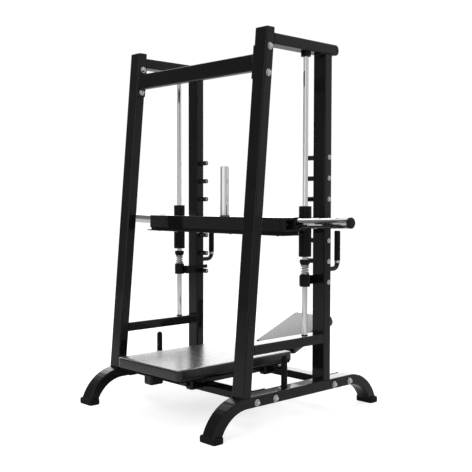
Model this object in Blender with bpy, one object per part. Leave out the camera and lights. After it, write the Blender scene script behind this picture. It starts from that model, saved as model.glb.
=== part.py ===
"""Vertical leg press: a floor frame with two chrome guide rods, a plate-loaded
foot carriage that runs up and down on them, sprung safety stops that hook over
catch pegs, and a seat with a tilting back pad between the side frames.

Axes: X across the machine, -Y to the front (leaning uprights), +Y to the rear,
Z up from the floor.  Every length is in metres.
"""
import math

import bmesh
import bpy
from mathutils import Matrix, Vector

for old in list(bpy.data.objects):
    bpy.data.objects.remove(old, do_unlink=True)

# ---------------------------------------------------------------- dimensions
GAP = 0.0003                 # paint-thin clearance between pieces that touch

TUBE_W = 0.0762              # frame tube, across the machine
TUBE_D = 0.0508              # frame tube, the other way
TUBE_R = 0.006               # rounded corner of the frame tube

SIDE_X = 0.466               # centre plane of each side frame
INNER_X = SIDE_X - TUBE_W / 2
OUTER_X = SIDE_X + TUBE_W / 2

BASE_Z = 0.1443              # centre height of the base tubes
BASE_TOP = BASE_Z + TUBE_D / 2
BASE_MID_Y = -0.0507         # middle of the base tubes, front to rear
BASE_STRAIGHT = 0.358        # half of the straight run of a base tube
BASE_BEND_R = 0.190          # centre-line radius of the turned-down feet
BASE_END_Z = 0.006           # where the bent tube stops inside the foot cap
BELOW_FLOOR_Z = -0.020       # sweeps run to here before they are trimmed
FOOT_X = 0.050               # half width of a rubber foot cap
FOOT_Y = 0.030               # half depth of a rubber foot cap
FOOT_H = 0.029

FRONT_TOP_Z = 1.798          # top of the leaning uprights
FRONT_REF_Y = -0.3365        # upright centre at height FRONT_REF_Z
FRONT_REF_Z = 1.035
FRONT_LEAN = 0.088           # rearward run per metre of height

REAR_Y = 0.1245              # centre of the vertical rear uprights
SIDE_TOP_Z = 1.7555          # centre height of the top side tubes
SIDE_TOP_END_Y = 0.1775      # rear end of the top side tubes
SIDE_CAP_EDGE = 0.007        # how far the half-round end cap narrows at its rear
BRACE_Z = 0.3735             # centre height of the lower side braces
BRACE_H = 0.046
BRACE_TOP = BRACE_Z + BRACE_H / 2

TOP_CROSS_Z = 1.6525         # centre height of the top cross member
TOP_CROSS_H = 0.0762
TOP_CROSS_D = 0.038
TOP_PLATE_H = 0.150          # bolted end plates of the top cross member
BASE_CROSS_Y = (-0.297, 0.230)
BASE_CROSS_Z = 0.1415        # centre height of the base cross members
BASE_CROSS_H = 0.038
BASE_PLATE_L = 0.148         # bolted end plates of the base cross members
BASE_PLATE_Z = (0.1185, 0.1715)
PLATE_T = 0.006
WELD_BITE = 0.004            # how far one welded piece runs into the next

ROD_Y = 0.003                # guide rod axis
ROD_R = 0.0125
ROD_TOP = SIDE_TOP_Z - TUBE_D / 2
CLAMP_R = 0.024              # round clamp at the top of each guide rod
CLAMP_H = 0.021

PEG_COUNT = 7                # catch pegs on each rear upright
PEG_FIRST_Z = 0.643
PEG_PITCH = 0.100
PEG_R = 0.0125
PEG_L = 0.054
PEG_WALL = 0.0045
PEG_HOLLOW = 0.004

HOUSING_R = 0.0300           # bearing housings that ride on the rods
HOUSING_BORE = 0.0205
HOUSING_Z = (0.7705, 1.0095)
BUSH_BORE = 0.0129

CARR_X = 0.4965              # half width of the carriage beam
CARR_FRONT = -0.187
CARR_REAR = -0.055
CARR_MID_Y = (CARR_FRONT + CARR_REAR) / 2
CARR_HALF_Y = (CARR_REAR - CARR_FRONT) / 2
CARR_Z = (0.8905, 0.9570)
CARR_CORNER = 0.020
RECESS_DEPTH = 0.022         # pocket in each end of the beam
RECESS_Y = (-0.163, -0.118)
RECESS_RIM = 0.011
RIB_HALF_X = 0.020           # ribs and bar that carry the rear of the foot plate
RIB_X = 0.330
RIB_H = 0.040
TREAD_Z = (0.8740, 0.8790)   # foot plate
TREAD_LIP = 0.008            # how far the foot plate shows round the beam
TREAD_REAR_X = 0.360
TREAD_REAR_Y = 0.090
SPACER_INSET = 0.006
SADDLE_X = 0.026             # half width of the bracket that holds a housing

HORN_Y = -0.084              # plate horns
HORN_Z = 0.929
HORN_TILT = math.radians(1.6)  # the horns rise a little outward
HORN_R = 0.024
HORN_L = 0.305
POST_R = 0.0225              # upright plate post
POST_TOP = 1.207
POST_WALL = 0.003
POST_RECESS = 0.004          # shallow recess in the top of the post

SLEEVE_R = 0.0255            # safety stop sleeve on the guide rod
SLEEVE_Z = (0.629, 0.6885)
ARM_X = (0.0390, 0.0470)     # arm plate, distance inboard of the rod axis
ARM_Y = (0.0155, 0.168)
ARM_Z = (0.632, 0.675)
HOOK_Z = PEG_FIRST_Z + PEG_R + 0.0004
SPRING_R = 0.0185            # bumper spring under the cup
SPRING_WIRE = 0.0021
SPRING_TURNS = 4.0
CUP_R = 0.0250
CUP_Z = (0.7315, 0.7565)

HANDLE_Z = 0.7025            # hand grips behind the rear uprights
HANDLE_Y = 0.241
HANDLE_R = 0.012
HANDLE_BEND = 0.030
GRIP_R = 0.0148              # rubber grip
GRIP_END = 0.012             # closed end of the grip above the bar
GRIP_Z = (0.742, 0.889)

POST_Y = -0.137              # short hand posts beside the seat
POST_HAND_R = 0.0145
POST_HAND_TOP = 0.321

SEAT_HALF_W = 0.2390         # seat pad
SEAT_Y = (-0.580, 0.168)
SEAT_Z = (0.2130, 0.2710)
SEAT_CORNER = 0.022
PAD_EDGE = 0.008
RAIL_X = 0.100               # seat rails on the base cross members
RAIL_W = 0.046
RAIL_Z = (BASE_CROSS_Z + BASE_CROSS_H / 2 + GAP, SEAT_Z[0] - GAP)
RAIL_Y = (-0.440, 0.228)
TIE_Y = (-0.200, 0.080)      # ties between the rails
TIE_HALF = 0.020
DROP_Z = 0.1435
DROPS = ((-0.1250, -0.0620, -0.504, -0.428),     # x and y ranges of the drop feet
         (0.0950, 0.1430, -0.425, -0.342),
         (-0.1250, -0.0900, 0.072, 0.148),
         (0.0900, 0.1350, 0.072, 0.148))

PIVOT_Y = 0.187              # pivot of the back pad frame
PIVOT_Z = 0.1840
PIVOT_R = 0.008
PIVOT_SLEEVE_R = 0.0155
BACK_ANGLE = math.radians(21.6)
BACK_HALF_W = 0.139
BACK_L = 0.355
BACK_T = 0.050
BACK_CORNER = 0.014
BACK_TOP = Vector((0.0, 0.6013, 0.3980)) # upper edge of the back pad top face
BAR_T = 0.0155               # depth of the bar under the back pad
BAR_HALF_W = 0.030
BAR_START = 0.007            # bar starts this far up from the pivot
BAR_END = 0.050              # and stops this far short of the pad's upper edge
STRAP_HALF_X = 0.105         # straps across the bar, under the pad
STRAP_HALF_Y = 0.020
STRAP_T = 0.006
PROP_Y = (0.232, 0.262)      # rest block on the rear cross member
PROP_HALF_X = 0.020


# ---------------------------------------------------------------- materials
def paint(name, color, rough, metal=0.0, coat=0.0):
    mat = bpy.data.materials.new(name)
    mat.use_nodes = True
    shader = mat.node_tree.nodes["Principled BSDF"]
    shader.inputs["Base Color"].default_value = (*color, 1.0)
    shader.inputs["Roughness"].default_value = rough
    shader.inputs["Metallic"].default_value = metal
    shader.inputs["Coat Weight"].default_value = coat
    return mat


FINISH = {
    "black": dict(color=(0.018, 0.018, 0.019), rough=0.28, coat=0.5),
    "satin": dict(color=(0.020, 0.020, 0.021), rough=0.42),
    "chrome": dict(color=(0.80, 0.80, 0.79), rough=0.08, metal=1.0),
    "zinc": dict(color=(0.62, 0.62, 0.60), rough=0.28, metal=1.0),
    "spring": dict(color=(0.45, 0.45, 0.45), rough=0.30, metal=1.0),
    "rubber": dict(color=(0.014, 0.014, 0.014), rough=0.70),
    "plastic": dict(color=(0.016, 0.016, 0.016), rough=0.50),
    "vinyl": dict(color=(0.022, 0.022, 0.023), rough=0.45),
    "liner": dict(color=(0.090, 0.088, 0.080), rough=0.55),
}


TILT = Matrix.Rotation(BACK_ANGLE, 4, 'X')
PIVOT = Vector((0.0, PIVOT_Y, PIVOT_Z))
LOCAL_TOP = TILT.inverted() @ (BACK_TOP - PIVOT)     # pad top edge, level frame
PAD_LOW = LOCAL_TOP.z - BACK_T                       # pad underside, level frame
BAR_LOW = PAD_LOW - GAP - BAR_T


def bar_underside(y):
    """World height of the back bar's underside at y."""
    return PIVOT_Z + (y - PIVOT_Y) * math.tan(BACK_ANGLE) + BAR_LOW / math.cos(BACK_ANGLE)


# ---------------------------------------------------------------- mesh tools
def make_object(name, bm, finish, origin=(0.0, 0.0, 0.0), smooth=False):
    bmesh.ops.recalc_face_normals(bm, faces=bm.faces)
    mesh = bpy.data.meshes.new(name)
    bmesh.ops.translate(bm, verts=bm.verts, vec=-Vector(origin))
    bm.to_mesh(mesh)
    bm.free()
    obj = bpy.data.objects.new(name, mesh)
    obj.location = origin
    bpy.context.scene.collection.objects.link(obj)
    mesh.materials.append(paint("mat_" + name, **FINISH[finish]))
    for poly in mesh.polygons:
        poly.use_smooth = smooth
    if smooth:
        mesh.set_sharp_from_angle(angle=math.radians(35))
    return obj


def rounded_rect(half_a, half_b, radius, steps=3):
    """Closed outline, counter-clockwise, of a rectangle with round corners."""
    points = []
    corners = ((1, 1, 0), (-1, 1, 90), (-1, -1, 180), (1, -1, 270))
    for sign_a, sign_b, start in corners:
        for step in range(steps + 1):
            angle = math.radians(start + 90.0 * step / steps)
            points.append((sign_a * (half_a - radius) + radius * math.cos(angle),
                           sign_b * (half_b - radius) + radius * math.sin(angle)))
    return points


def circle(radius, count, start=0.0):
    return [(radius * math.cos(start + 2 * math.pi * i / count),
             radius * math.sin(start + 2 * math.pi * i / count)) for i in range(count)]


def skin(bm, rings, closed=False):
    """Bridge equal rings of points; cap both ends unless the loop is closed."""
    loops = [[bm.verts.new(p) for p in ring] for ring in rings]
    count = len(loops[0])
    pairs = list(zip(loops, loops[1:]))
    if closed:
        pairs.append((loops[-1], loops[0]))
    for low, high in pairs:
        for i in range(count):
            j = (i + 1) % count
            bm.faces.new((low[i], low[j], high[j], high[i]))
    if not closed:
        bm.faces.new(list(reversed(loops[0])))
        bm.faces.new(loops[-1])


def prism(outline, start, end, side):
    """Extrude a 2-D outline (a along side, b across) from start to end."""
    bm = bmesh.new()
    start, end, side = Vector(start), Vector(end), Vector(side)
    up = (end - start).normalized().cross(side)
    skin(bm, [[base + side * a + up * b for a, b in outline] for base in (start, end)])
    return bm


def box(low, high, bevel=0.0, segments=2):
    bm = bmesh.new()
    bmesh.ops.create_cube(bm, size=1.0)
    size = [h - l for l, h in zip(low, high)]
    mid = [(l + h) / 2 for l, h in zip(low, high)]
    bmesh.ops.scale(bm, vec=size, verts=bm.verts)
    bmesh.ops.translate(bm, vec=mid, verts=bm.verts)
    if bevel:
        bmesh.ops.bevel(bm, geom=list(bm.edges), offset=bevel, segments=segments,
                        profile=0.5, affect='EDGES')
    return bm


def lathe(profile, base, axis, count=28):
    """Turn (radius, height) points round an axis; radius 0 closes an end."""
    bm = bmesh.new()
    axis = Vector(axis).normalized()
    side = axis.orthogonal().normalized()
    turn = axis.cross(side)
    base = Vector(base)
    open_bore = profile[0][0] > 0.0
    rings = []
    for radius, height in profile:
        centre = base + axis * height
        if radius == 0.0:
            rings.append([bm.verts.new(centre)])
            continue
        rings.append([bm.verts.new(centre + side * a + turn * b)
                      for a, b in circle(radius, count)])
    pairs = list(zip(rings, rings[1:]))
    if open_bore:
        pairs.append((rings[-1], rings[0]))
    for low, high in pairs:
        for i in range(count):
            j = (i + 1) % count
            if len(low) == 1:
                bm.faces.new((low[0], high[i], high[j]))
            elif len(high) == 1:
                bm.faces.new((low[i], low[j], high[0]))
            else:
                bm.faces.new((low[i], low[j], high[j], high[i]))
    return bm


def sweep(path, outline_at, side):
    """Sweep an outline along a planar path; side is normal to that plane."""
    bm = bmesh.new()
    side = Vector(side)
    rings = []
    for index, point in enumerate(path):
        before = path[max(index - 1, 0)]
        after = path[min(index + 1, len(path) - 1)]
        along = (Vector(after) - Vector(before)).normalized()
        up = along.cross(side)
        rings.append([Vector(point) + side * a + up * b for a, b in outline_at])
    skin(bm, rings)
    return bm


def cut(obj, cutter_bm, operation='DIFFERENCE'):
    """Boolean a throw-away body with an object, applied at once."""
    mesh = bpy.data.meshes.new("cutter")
    bmesh.ops.recalc_face_normals(cutter_bm, faces=cutter_bm.faces)
    cutter_bm.to_mesh(mesh)
    cutter_bm.free()
    tool = bpy.data.objects.new("cutter", mesh)
    bpy.context.scene.collection.objects.link(tool)
    tool.hide_render = True
    tool.display_type = 'WIRE'
    mod = obj.modifiers.new("boolean", 'BOOLEAN')
    mod.operation = operation
    mod.solver = 'EXACT'
    mod.object = tool
    graph = bpy.context.evaluated_depsgraph_get()
    result = bpy.data.meshes.new_from_object(obj.evaluated_get(graph))
    obj.modifiers.clear()
    kept = obj.data
    name = kept.name
    obj.data = result
    bpy.data.meshes.remove(kept)
    result.name = name
    bpy.data.objects.remove(tool, do_unlink=True)


TUBE_OUTLINE = rounded_rect(TUBE_W / 2, TUBE_D / 2, TUBE_R)
SIDES = (("left", -1), ("right", 1))


def front_y(z):
    """Centre of the leaning upright at height z."""
    return FRONT_REF_Y + FRONT_LEAN * (z - FRONT_REF_Z)


# ---------------------------------------------------------------- base tubes
def bend_angle(z):
    """Angle turned by a base tube where its centre line is at height z."""
    return math.acos(1.0 - (BASE_Z - z) / BASE_BEND_R)


def base_path(x, steps=12):
    """Centre line of a base tube: foot, bend, straight run, bend, foot."""
    half = []
    for step in range(steps + 1):
        angle = bend_angle(BELOW_FLOOR_Z) * step / steps
        half.append((BASE_STRAIGHT + BASE_BEND_R * math.sin(angle),
                     BASE_Z - BASE_BEND_R * (1.0 - math.cos(angle))))
    rear = [(x, BASE_MID_Y + run, z) for run, z in half]
    front = [(x, BASE_MID_Y - run, z) for run, z in reversed(half)]
    return front + rear


def flatten_ends(bm, floor_z):
    """Trim a swept tube level at floor_z and close the cut."""
    geom = list(bm.verts) + list(bm.edges) + list(bm.faces)
    result = bmesh.ops.bisect_plane(bm, geom=geom, plane_co=(0, 0, floor_z),
                                    plane_no=(0, 0, -1), clear_outer=True)
    edges = [e for e in result["geom_cut"] if isinstance(e, bmesh.types.BMEdge)]
    bmesh.ops.edgeloop_fill(bm, edges=edges)


for side_name, sign in SIDES:
    body = sweep(base_path(sign * SIDE_X), TUBE_OUTLINE, (1, 0, 0))
    flatten_ends(body, BASE_END_Z)
    make_object("base_tube_" + side_name, body, "black", smooth=True)

    for end_name, end_sign in (("front", -1), ("rear", 1)):
        run = BASE_STRAIGHT + BASE_BEND_R * math.sin(bend_angle(FOOT_H / 2))
        centre = Vector((sign * SIDE_X, BASE_MID_Y + end_sign * run, 0.0))
        body = bmesh.new()
        levels = ((0.0, -0.003), (0.003, 0.0), (FOOT_H - 0.004, 0.0), (FOOT_H, -0.003))
        rings = []
        for z, grow in levels:
            outline = rounded_rect(FOOT_X + grow, FOOT_Y + grow, 0.012 + grow)
            rings.append([centre + Vector((a, b, z)) for a, b in outline])
        skin(body, rings)
        cap = make_object("foot_cap_%s_%s" % (end_name, side_name), body, "rubber", smooth=True)
        clear = rounded_rect(TUBE_W / 2 + GAP, TUBE_D / 2 + GAP, TUBE_R + GAP)
        socket = sweep(base_path(sign * SIDE_X), clear, (1, 0, 0))
        flatten_ends(socket, BASE_END_Z - GAP)
        cut(cap, socket)

# ---------------------------------------------------------------- uprights
for side_name, sign in SIDES:
    x = sign * SIDE_X
    low_z = BASE_TOP + GAP
    body = bmesh.new()
    skin(body, [[Vector((x + a, front_y(z) + b, z)) for a, b in TUBE_OUTLINE]
                for z in (low_z, FRONT_TOP_Z)])
    make_object("front_upright_" + side_name, body, "black", smooth=True)

    cap_low = FRONT_TOP_Z + GAP
    body = bmesh.new()
    rings = []
    for z, grow in ((cap_low, 0.0), (cap_low + 0.004, 0.0), (cap_low + 0.007, -0.003)):
        outline = rounded_rect(TUBE_W / 2 + grow, TUBE_D / 2 + grow, TUBE_R + grow)
        rings.append([Vector((x + a, front_y(FRONT_TOP_Z) + b, z)) for a, b in outline])
    skin(body, rings)
    make_object("upright_cap_" + side_name, body, "plastic", smooth=True)

    # vertical rear upright with its row of catch pegs welded to the inner face
    body = prism(TUBE_OUTLINE, (x, REAR_Y, low_z),
                 (x, REAR_Y, SIDE_TOP_Z - TUBE_D / 2 - GAP), (1, 0, 0))
    upright = make_object("rear_upright_" + side_name, body, "black", smooth=True)
    for index in range(PEG_COUNT):
        z = PEG_FIRST_Z + PEG_PITCH * index
        root = Vector((sign * (INNER_X + WELD_BITE), REAR_Y, z))
        length = PEG_L + WELD_BITE
        profile = ((0.0, 0.0), (PEG_R, 0.0), (PEG_R, length - 0.0015),
                   (PEG_R - 0.0015, length), (PEG_R - PEG_WALL, length),
                   (PEG_R - PEG_WALL, length - PEG_HOLLOW), (0.0, length - PEG_HOLLOW))
        cut(upright, lathe(profile, root, (-sign, 0, 0), count=16), 'UNION')


# ---------------------------------------------------------------- side tubes
def side_tube(name, x, z_mid, height, rear_y):
    """Level tube whose front end is cut to the slope of the leaning upright."""
    front = []
    rear = []
    for a, b in rounded_rect(TUBE_W / 2, height / 2, TUBE_R):
        z = z_mid + b
        front.append(Vector((x + a, front_y(z) + TUBE_D / 2 + GAP, z)))
        rear.append(Vector((x + a, rear_y, z)))
    bm = bmesh.new()
    skin(bm, [front, rear])
    return make_object(name, bm, "black", smooth=True)


for side_name, sign in SIDES:
    x = sign * SIDE_X
    half = TUBE_D / 2
    side_tube("top_side_tube_" + side_name, x, SIDE_TOP_Z, TUBE_D, SIDE_TOP_END_Y)
    side_tube("lower_brace_" + side_name, x, BRACE_Z, BRACE_H, REAR_Y - half - GAP)

    body = bmesh.new()
    rings = []
    start = SIDE_TOP_END_Y + GAP
    for degrees in (0, 18, 36, 52, 66, 78):
        turn = math.radians(degrees)
        tall = half * math.cos(turn)
        wide = TUBE_W / 2 - SIDE_CAP_EDGE * (1 - math.cos(turn))
        outline = rounded_rect(wide, tall, min(TUBE_R, 0.6 * tall))
        rings.append([Vector((x + a, start + half * math.sin(turn), SIDE_TOP_Z + b))
                      for a, b in outline])
    skin(body, rings)
    make_object("side_tube_cap_" + side_name, body, "plastic", smooth=True)


# ---------------------------------------------------------------- cross members
def cross_member(name, y, z, half_y, half_z, plates):
    """A tube across the machine with a bolting plate welded on each end."""
    reach = INNER_X - GAP
    outline = rounded_rect(half_y, half_z, TUBE_R)
    bm = bmesh.new()
    rings = [[Vector((s * (reach - PLATE_T / 2), y + a, z + b)) for a, b in outline]
             for s in (-1, 1)]
    skin(bm, rings)
    obj = make_object(name, bm, "black", smooth=True)
    for s in (-1, 1):
        cut(obj, plates(s, reach), 'UNION')
    return obj


def base_plate(y):
    def build(s, reach):
        low = min(s * reach, s * (reach - PLATE_T))
        high = max(s * reach, s * (reach - PLATE_T))
        return box((low, y - BASE_PLATE_L / 2, BASE_PLATE_Z[0]),
                   (high, y + BASE_PLATE_L / 2, BASE_PLATE_Z[1]), 0.001, 1)
    return build


def top_plate(s, reach):
    """End plate of the top cross member, leaning with the upright."""
    half_w = TOP_CROSS_D / 2 + WELD_BITE
    bm = bmesh.new()
    rings = []
    for x in (s * reach, s * (reach - PLATE_T)):
        ring = []
        for dz, dy in ((-1, -1), (1, -1), (1, 1), (-1, 1)):
            z = TOP_CROSS_Z + dz * TOP_PLATE_H / 2
            ring.append(Vector((x, front_y(z) + dy * half_w, z)))
        rings.append(ring)
    skin(bm, rings)
    return bm


cross_member("top_cross_member", front_y(TOP_CROSS_Z), TOP_CROSS_Z,
             TOP_CROSS_D / 2, TOP_CROSS_H / 2, top_plate)
cross_member("base_cross_member_front", BASE_CROSS_Y[0], BASE_CROSS_Z,
             TUBE_W / 2, BASE_CROSS_H / 2, base_plate(BASE_CROSS_Y[0]))
rear_member = cross_member("base_cross_member_rear", BASE_CROSS_Y[1], BASE_CROSS_Z,
                           TUBE_W / 2, BASE_CROSS_H / 2, base_plate(BASE_CROSS_Y[1]))
# block that the back bar rests on, its top cut to the bar's slope
prop_low = BASE_CROSS_Z + BASE_CROSS_H / 2 - WELD_BITE
shape = ((PROP_Y[0], prop_low), (PROP_Y[1], prop_low),
         (PROP_Y[1], bar_underside(PROP_Y[1]) - GAP), (PROP_Y[0], bar_underside(PROP_Y[0]) - GAP))
prop = bmesh.new()
skin(prop, [[Vector((px, py, pz)) for py, pz in shape] for px in (-PROP_HALF_X, PROP_HALF_X)])
cut(rear_member, prop, 'UNION')

# ---------------------------------------------------------------- guide rods
for side_name, sign in SIDES:
    foot = (sign * SIDE_X, ROD_Y, BRACE_TOP + GAP)
    height = ROD_TOP - GAP - foot[2]
    profile = ((0.0, 0.0), (ROD_R - 0.001, 0.0), (ROD_R, 0.001), (ROD_R, height - 0.001),
               (ROD_R - 0.001, height), (0.0, height))
    make_object("guide_rod_" + side_name, lathe(profile, foot, (0, 0, 1), 32), "chrome",
                smooth=True)

    low = (sign * SIDE_X, ROD_Y, ROD_TOP - GAP - CLAMP_H)
    bore = ROD_R + GAP
    profile = ((bore, 0.0), (CLAMP_R - 0.0015, 0.0), (CLAMP_R, 0.0015),
               (CLAMP_R, CLAMP_H), (bore, CLAMP_H))
    make_object("rod_clamp_" + side_name, lathe(profile, low, (0, 0, 1)), "satin", smooth=True)


# ---------------------------------------------------------------- foot carriage
def carriage_slab(levels, inset):
    """Flat body with the beam's round-cornered plan at (height, grow) levels."""
    bm = bmesh.new()
    rings = []
    for z, grow in levels:
        outline = rounded_rect(CARR_X - inset + grow, CARR_HALF_Y - inset + grow,
                               CARR_CORNER - inset + grow, 4)
        rings.append([Vector((a, CARR_MID_Y + b, z)) for a, b in outline])
    skin(bm, rings)
    return bm


body = carriage_slab(((CARR_Z[0], -0.002), (CARR_Z[0] + 0.002, 0.0),
                      (CARR_Z[1] - 0.002, 0.0), (CARR_Z[1], -0.002)), 0.0)
carriage = make_object("carriage_beam", body, "black", smooth=True)
for sign in (-1, 1):
    # bracket from the beam to the bearing housing, hollowed to the housing
    saddle = box((sign * SIDE_X - SADDLE_X, CARR_REAR - WELD_BITE, CARR_Z[0] + 0.004),
                 (sign * SIDE_X + SADDLE_X, ROD_Y - 0.004, CARR_Z[1] - 0.004), 0.0015, 1)
    cut(carriage, saddle, 'UNION')
    room = lathe(((0.0, 0.0), (HOUSING_R + GAP, 0.0), (HOUSING_R + GAP, 0.2), (0.0, 0.2)),
                 (sign * SIDE_X, ROD_Y, CARR_Z[0] - 0.05), (0, 0, 1), 40)
    cut(carriage, room)
    # recess in the beam end, in front of the horn
    recess_x = sorted((sign * (CARR_X - RECESS_DEPTH), sign * (CARR_X + RECESS_DEPTH)))
    recess = box((recess_x[0], RECESS_Y[0], CARR_Z[0] + RECESS_RIM),
                 (recess_x[1], RECESS_Y[1], CARR_Z[1] - RECESS_RIM))
    cut(carriage, recess)
    # rib that carries the rear part of the foot plate
    rib = box((sign * RIB_X - RIB_HALF_X, CARR_REAR - WELD_BITE, CARR_Z[0]),
              (sign * RIB_X + RIB_HALF_X, TREAD_REAR_Y - 0.004, CARR_Z[0] + RIB_H), 0.002, 1)
    cut(carriage, rib, 'UNION')
rear_bar = box((-RIB_X - 0.010, TREAD_REAR_Y - 0.044, CARR_Z[0] + 0.0004),
               (RIB_X + 0.010, TREAD_REAR_Y - 0.0044, CARR_Z[0] + RIB_H - 0.0004), 0.002, 1)
cut(carriage, rear_bar, 'UNION')

# spacer strip of rubber between the beam and the foot plate
body = carriage_slab(((TREAD_Z[1] + GAP, 0.0), (CARR_Z[0] - GAP, 0.0)), SPACER_INSET)
make_object("plate_spacer", body, "rubber")

# foot plate on the underside: wide strip under the beam, narrower behind it
wide = CARR_X + TREAD_LIP
front = CARR_FRONT - 0.002
shape = ((-wide, front), (wide, front), (wide, CARR_REAR), (TREAD_REAR_X, CARR_REAR),
         (TREAD_REAR_X, TREAD_REAR_Y), (-TREAD_REAR_X, TREAD_REAR_Y),
         (-TREAD_REAR_X, CARR_REAR), (-wide, CARR_REAR))
body = bmesh.new()
skin(body, [[Vector((px, py, z)) for px, py in shape] for z in TREAD_Z])
make_object("foot_plate", body, "satin")

for side_name, sign in SIDES:
    base = (sign * SIDE_X, ROD_Y, HOUSING_Z[0])
    height = HOUSING_Z[1] - HOUSING_Z[0]
    profile = ((HOUSING_BORE, 0.0), (HOUSING_R - 0.0015, 0.0), (HOUSING_R, 0.0015),
               (HOUSING_R, height - 0.0015), (HOUSING_R - 0.0015, height),
               (HOUSING_BORE, height))
    make_object("bearing_housing_" + side_name, lathe(profile, base, (0, 0, 1), 40),
                "satin", smooth=True)
    outer = HOUSING_BORE - GAP
    profile = ((BUSH_BORE + 0.001, 0.001), (outer, 0.001), (outer, height - 0.001),
               (BUSH_BORE + 0.001, height - 0.001), (BUSH_BORE, height - 0.002),
               (BUSH_BORE, 0.002))
    make_object("linear_bushing_" + side_name, lathe(profile, base, (0, 0, 1), 40),
                "liner", smooth=True)

    root = Vector((sign * (CARR_X + 0.0012), HORN_Y, HORN_Z))
    out = Vector((sign * math.cos(HORN_TILT), 0.0, math.sin(HORN_TILT)))
    profile = ((0.0, 0.0), (HORN_R, 0.0), (HORN_R, HORN_L), (0.0, HORN_L))
    make_object("weight_horn_" + side_name, lathe(profile, root, out, 32), "chrome", smooth=True)
    profile = ((0.0, 0.0), (0.0245, 0.0), (0.025, 0.002), (0.025, 0.010), (0.0225, 0.013),
               (0.015, 0.015), (0.0, 0.0155))
    make_object("horn_cap_" + side_name, lathe(profile, root + out * (HORN_L + GAP), out, 32),
                "plastic", smooth=True)

height = POST_TOP - CARR_Z[1] - GAP
bore = POST_R - POST_WALL
profile = ((0.0, 0.0), (POST_R, 0.0), (POST_R, height - 0.0015), (POST_R - 0.0015, height),
           (bore, height), (bore, height - POST_RECESS), (0.0, height - POST_RECESS))
make_object("weight_post", lathe(profile, (0.0, HORN_Y, CARR_Z[1] + GAP), (0, 0, 1), 32),
            "chrome", smooth=True)

# ---------------------------------------------------------------- safety stops
for side_name, sign in SIDES:
    rod_x = sign * SIDE_X
    height = SLEEVE_Z[1] - SLEEVE_Z[0]
    bore = ROD_R + 0.0004
    profile = ((bore, 0.0), (SLEEVE_R - 0.001, 0.0), (SLEEVE_R, 0.001),
               (SLEEVE_R, height - 0.006), (SLEEVE_R - 0.006, height), (bore, height))
    body = lathe(profile, (rod_x, ROD_Y, SLEEVE_Z[0]), (0, 0, 1), 32)
    stop = make_object("stop_arm_" + side_name, body, "satin",
                       origin=(rod_x, ROD_Y, SLEEVE_Z[0]), smooth=True)

    # flat arm, inboard of the upright, notched over the lowest catch peg
    x_near = rod_x - sign * ARM_X[0]
    x_far = rod_x - sign * ARM_X[1]
    notch_y = REAR_Y - PEG_R - 0.0005
    shape = ((ARM_Y[0], ARM_Z[0]), (notch_y, ARM_Z[0]), (notch_y, HOOK_Z),
             (ARM_Y[1], HOOK_Z), (ARM_Y[1], ARM_Z[1]), (ARM_Y[0], ARM_Z[1]))
    arm = bmesh.new()
    skin(arm, [[Vector((px, py, pz)) for py, pz in shape] for px in (x_near, x_far)])
    cut(stop, arm, 'UNION')
    web_x = sorted((rod_x - sign * 0.006, x_far + sign * 0.002))
    web = box((web_x[0], ARM_Y[0] + 0.0004, ARM_Z[0] + 0.0005),
              (web_x[1], ROD_Y + SLEEVE_R + 0.004, ARM_Z[1] - 0.0005))
    cut(stop, web, 'UNION')
    clear = lathe(((0.0, 0.0), (bore, 0.0), (bore, 0.1), (0.0, 0.1)),
                  (rod_x, ROD_Y, SLEEVE_Z[0] - 0.02), (0, 0, 1), 32)
    cut(stop, clear)

    # coil spring between the sleeve and the bumper cup
    low = SLEEVE_Z[1] + SPRING_WIRE + 0.0004
    high = CUP_Z[0] - SPRING_WIRE - 0.0004
    steps = 72
    body = bmesh.new()
    rings = []
    for step in range(steps + 1):
        turn = 2 * math.pi * SPRING_TURNS * step / steps
        out = Vector((math.cos(turn), math.sin(turn), 0.0))
        centre = Vector((rod_x, ROD_Y, low + (high - low) * step / steps)) + out * SPRING_R
        rings.append([centre + out * a + Vector((0, 0, b))
                      for a, b in circle(SPRING_WIRE, 6)])
    skin(body, rings)
    make_object("bumper_spring_" + side_name, body, "spring",
                origin=(rod_x, ROD_Y, low - SPRING_WIRE), smooth=True)

    height = CUP_Z[1] - CUP_Z[0]
    profile = ((bore, 0.0), (CUP_R - 0.006, 0.0), (CUP_R, 0.010), (CUP_R, height - 0.002),
               (CUP_R - 0.002, height), (bore, height))
    make_object("bumper_cup_" + side_name, lathe(profile, (rod_x, ROD_Y, CUP_Z[0]), (0, 0, 1)),
                "rubber", origin=(rod_x, ROD_Y, CUP_Z[0]), smooth=True)

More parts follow.
